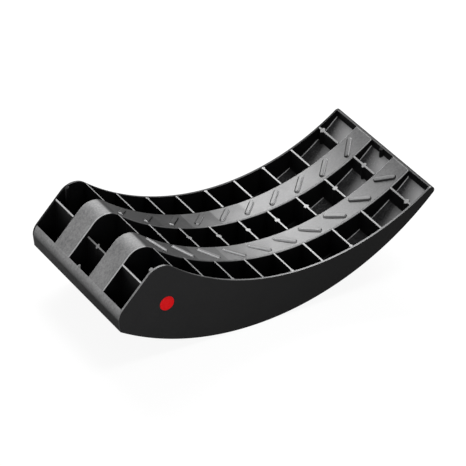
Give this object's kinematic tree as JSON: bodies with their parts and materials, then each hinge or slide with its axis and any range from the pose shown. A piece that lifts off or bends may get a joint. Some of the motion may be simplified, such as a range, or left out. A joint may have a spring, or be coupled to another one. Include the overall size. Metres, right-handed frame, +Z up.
{
  "type": "wheel leveller",
  "caption": "Crescent-shaped plastic wheel leveller with a concave tyre cradle of ribbed open cells, gripped treads and a convex underside that rocks on the ground to lift a parked wheel.",
  "frame": {"origin": "on the ground, under the middle of the box that holds the part at rest", "axes": "+X from the thick nose to the thin tip, +Y across the width away from the badge, +Z up"},
  "size_m": [0.3984, 0.19, 0.1152],
  "materials": {
    "black_plastic": "satin moulded black, worn paler on the treads and rims",
    "badge_red": "glossy red"
  },
  "bodies": {
    "root": {"left_side_wall": "black_plastic", "right_side_wall": "black_plastic", "nose_lip": "black_plastic", "tip_wall": "black_plastic", "badge": "badge_red", "left_floor": "black_plastic", "middle_floor": "black_plastic", "right_floor": "black_plastic", "left_tread": "black_plastic", "left_inner_wall": "black_plastic", "left_outer_wall": "black_plastic", "left_channel_ribs": "black_plastic", "left_grip_bars": "black_plastic", "right_tread": "black_plastic", "right_inner_wall": "black_plastic", "right_outer_wall": "black_plastic", "right_channel_ribs": "black_plastic", "right_grip_bars": "black_plastic", "left_rib_1": "black_plastic", "left_rib_2": "black_plastic", "left_rib_3": "black_plastic", "left_rib_4": "black_plastic", "left_rib_5": "black_plastic", "left_rib_6": "black_plastic", "left_rib_7": "black_plastic", "left_rib_8": "black_plastic", "left_rib_9": "black_plastic", "left_rib_10": "black_plastic", "middle_rib_1": "black_plastic", "middle_rib_2": "black_plastic", "middle_rib_3": "black_plastic", "middle_rib_4": "black_plastic", "middle_rib_5": "black_plastic", "middle_rib_6": "black_plastic", "middle_rib_7": "black_plastic", "middle_rib_8": "black_plastic", "middle_rib_9": "black_plastic", "middle_rib_10": "black_plastic", "right_rib_1": "black_plastic", "right_rib_2": "black_plastic", "right_rib_3": "black_plastic", "right_rib_4": "black_plastic", "right_rib_5": "black_plastic", "right_rib_6": "black_plastic", "right_rib_7": "black_plastic", "right_rib_8": "black_plastic", "right_rib_9": "black_plastic", "right_rib_10": "black_plastic"}
  },
  "joints": []
}
